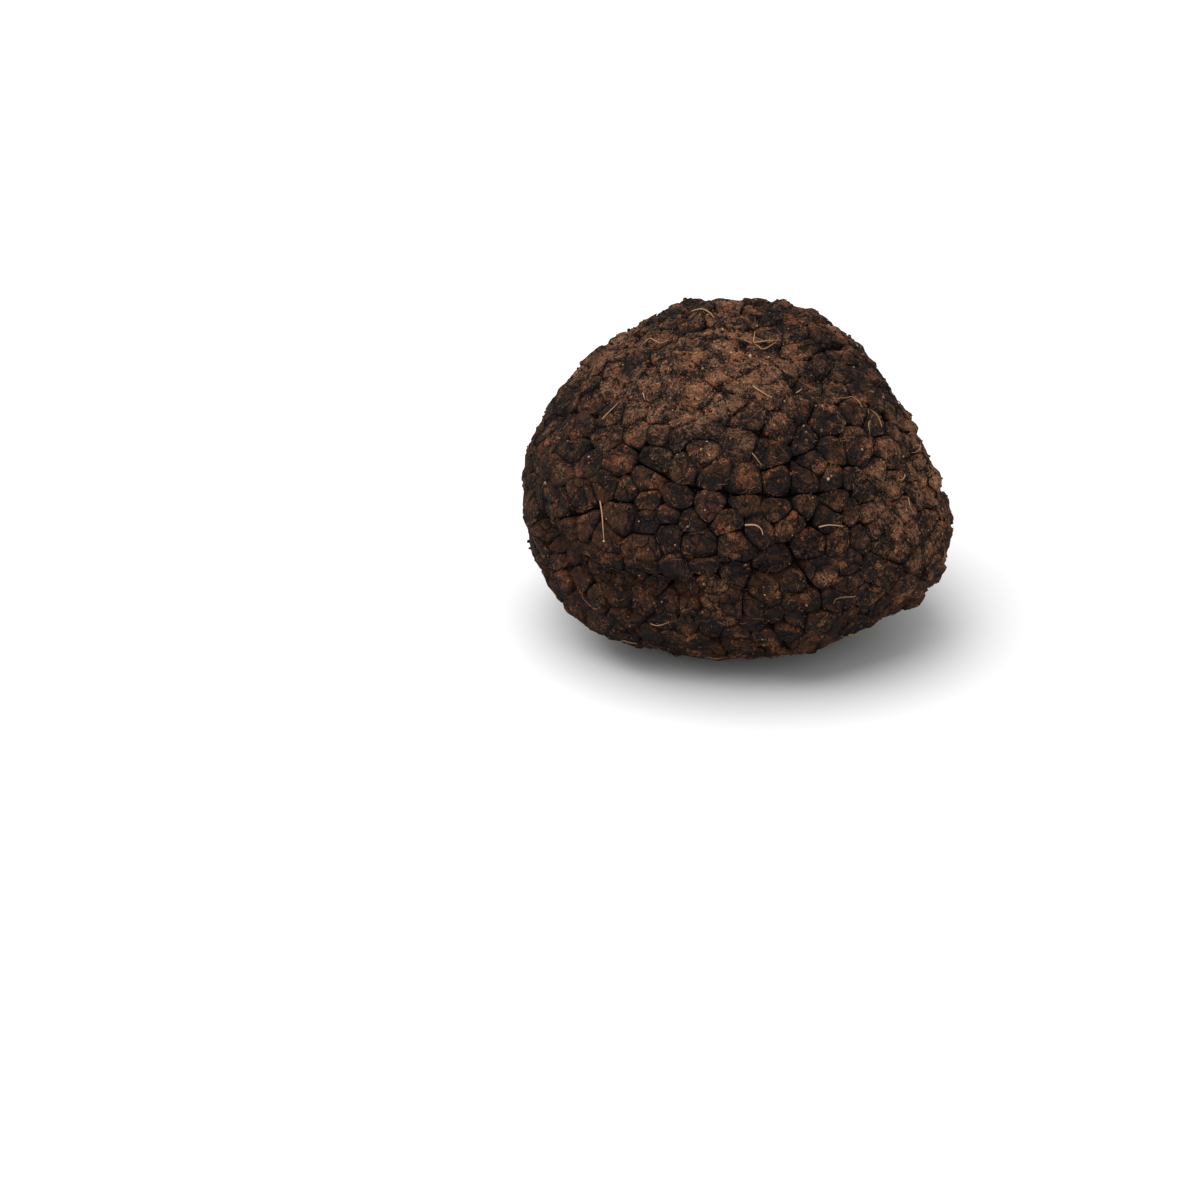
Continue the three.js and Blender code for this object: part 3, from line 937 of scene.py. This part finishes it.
def lump_shape(seed, subdivisions, unevenness, flatness):
    """A small stone or crumb of radius 1, modelled once for its copies."""
    bpy.ops.object.select_all(action="DESELECT")
    bpy.ops.mesh.primitive_ico_sphere_add(subdivisions=subdivisions, radius=1)
    lump = bpy.context.active_object
    bpy.ops.object.mode_set(mode="EDIT")
    bpy.ops.mesh.select_all(action="SELECT")
    bpy.ops.transform.vertex_random(offset=unevenness, seed=seed)
    bpy.ops.transform.resize(value=(1, 1, flatness), center_override=(0, 0, 0))
    bpy.ops.object.mode_set(mode="OBJECT")
    points = [v.co.copy() for v in lump.data.vertices]
    faces = [tuple(p.vertices) for p in lump.data.polygons]
    bpy.data.objects.remove(lump)
    return points, faces


def set_lump(shape, point, normal, size, sunk, rng):
    """A copy of a lump of the size given, turned about, sunk by a share of its size."""
    points, faces = shape
    turn = normal.to_track_quat("Z", "Y").to_matrix() @ Matrix.Rotation(rng.uniform(0, 2 * math.pi), 3, "Z")
    stretch = Vector((rng.uniform(0.75, 1.3), rng.uniform(0.75, 1.3), rng.uniform(0.75, 1.2)))
    middle = point + normal * (size * 0.5 * (1 - 2 * sunk) * 0.6)
    return [middle + turn @ (p * stretch) * (size * 0.5) for p in points], faces, rng.random()


class TRUFFLE_OT_crumbs(bpy.types.Operator):
    """Scatters crumbs of soil where dust lies on the rind"""

    bl_idname = "truffle.crumbs"
    bl_label = "Soil crumbs"

    def execute(self, context):
        settings = context.scene.truffle_clutter
        surface = rind_surface()
        rng = random.Random(CRUMB_DRAWS)
        shapes = [lump_shape(seed, 1, 0.32, 0.8) for seed in (1, 2, 3, 4)]
        parts = []
        for pixel, size in FRONT_CHIPS:
            point, normal = at_pixel(surface, pixel)
            points, faces, _ = set_lump(shapes[0], point, normal, size * MM, 0.4, rng)
            parts.append((points, faces, 0.75))
        while len(parts) < len(FRONT_CHIPS) + settings.crumb_count:
            point, normal = in_direction(surface, random_heading(rng))
            if point.z < LOWEST_CRUMB or rng.random() > 0.15 + soil_cover(point):
                continue
            size = 0.15 * MM + 0.42 * MM * rng.random() ** 2.5
            parts.append(set_lump(rng.choice(shapes), point, normal, size, 0.3, rng))
        crumbs = mesh_object("soil_crumbs", parts, soil_material(context.scene.truffle_rind))
        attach(crumbs, "root")
        return {"FINISHED"}


class TRUFFLE_OT_sand(bpy.types.Operator):
    """Sets pale grains of sand in the rind: those that show in front, and others all round"""

    bl_idname = "truffle.sand"
    bl_label = "Sand grains"

    def execute(self, context):
        settings = context.scene.truffle_clutter
        surface = rind_surface()
        rng = random.Random(SAND_DRAWS)
        shapes = [lump_shape(seed, 2, 0.16, 0.85) for seed in (1, 2, 3)]
        parts = []
        for pixel, size in FRONT_GRAINS:
            point, normal = at_pixel(surface, pixel)
            parts.append(set_lump(rng.choice(shapes), point, normal, 0.75 * size * MM, 0.35, rng))
        while len(parts) < len(FRONT_GRAINS) + settings.grain_count:
            point, normal = in_direction(surface, random_heading(rng))
            if point.z < LOWEST_GRAIN:
                continue
            size = rng.uniform(0.12, 0.3) * MM
            parts.append(set_lump(rng.choice(shapes), point, normal, size, 0.35, rng))
        sand = mesh_object("sand_grains", parts, grain_material(settings))
        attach(sand, "root")
        return {"FINISHED"}


class TRUFFLE_OT_stage(bpy.types.Operator):
    """Sets up the pale floor, the soft lights and the camera"""

    bl_idname = "truffle.stage"
    bl_label = "Stage"

    def execute(self, context):
        settings = context.scene.truffle_stage
        scene = context.scene
        bpy.ops.object.select_all(action="DESELECT")
        bpy.ops.mesh.primitive_plane_add(size=FLOOR_SIZE)
        floor = context.active_object
        floor.name = "floor"
        floor.data.materials.append(floor_material(settings))

        world = bpy.data.worlds.new("surroundings")
        world.use_nodes = True
        sky = world.node_tree.nodes["Background"]
        sky.inputs["Color"].default_value = (1, 1, 1, 1)
        sky.inputs["Strength"].default_value = settings.sky_strength
        scene.world = world

        bpy.ops.object.light_add(type="AREA", location=KEY_PLACE)
        key = context.active_object
        key.name = "key_light"
        key.data.energy = settings.key_power
        key.data.size = KEY_SIZE
        key.rotation_euler = (key.location - BODY_MIDDLE).to_track_quat("Z", "Y").to_euler()

        data = bpy.data.cameras.new("camera")
        data.sensor_width = SENSOR_MM
        data.lens = PIXELS_PER_METRE * CAMERA_DISTANCE * SENSOR_MM / FRAME_PIXELS
        data.clip_start = 0.01
        camera = bpy.data.objects.new("camera", data)
        scene.collection.objects.link(camera)
        axes = Matrix((RIGHT, UP, -FORWARD)).transposed().to_4x4()
        camera.matrix_world = Matrix.Translation(camera_place()) @ axes
        scene.camera = camera
        scene.view_settings.view_transform = "Standard"
        return {"FINISHED"}


class TRUFFLE_PT_panel(bpy.types.Panel):
    """Lists the truffle's pieces, in the order in which they are made"""

    bl_idname = "TRUFFLE_PT_panel"
    bl_label = "Black Truffle"
    bl_space_type = "VIEW_3D"
    bl_region_type = "UI"
    bl_category = "Truffle"

    def draw(self, context):
        for group in ("truffle_rind", "truffle_clutter", "truffle_stage"):
            settings = getattr(context.scene, group)
            for name in settings.__annotations__:
                self.layout.prop(settings, name)
        for operator in OPERATORS:
            self.layout.operator(operator.bl_idname)


GROUPS = {
    "truffle_rind": TruffleRindSettings,
    "truffle_clutter": TruffleClutterSettings,
    "truffle_stage": TruffleStageSettings,
}
OPERATORS = (
    TRUFFLE_OT_stage,
    TRUFFLE_OT_skin,
    TRUFFLE_OT_rootlets,
    TRUFFLE_OT_fibres,
    TRUFFLE_OT_crumbs,
    TRUFFLE_OT_sand,
)


def register():
    for cls in (*GROUPS.values(), *OPERATORS, TRUFFLE_PT_panel):
        bpy.utils.register_class(cls)
    for name, group in GROUPS.items():
        setattr(bpy.types.Scene, name, bpy.props.PointerProperty(type=group))


def unregister():
    for name in GROUPS:
        delattr(bpy.types.Scene, name)
    for cls in reversed((*GROUPS.values(), *OPERATORS, TRUFFLE_PT_panel)):
        bpy.utils.unregister_class(cls)


def main():
    register()
    bpy.ops.truffle.stage()
    bpy.ops.truffle.skin()
    bpy.ops.truffle.rootlets()
    bpy.ops.truffle.fibres()
    bpy.ops.truffle.crumbs()
    bpy.ops.truffle.sand()


if __name__ == "__main__":
    main()
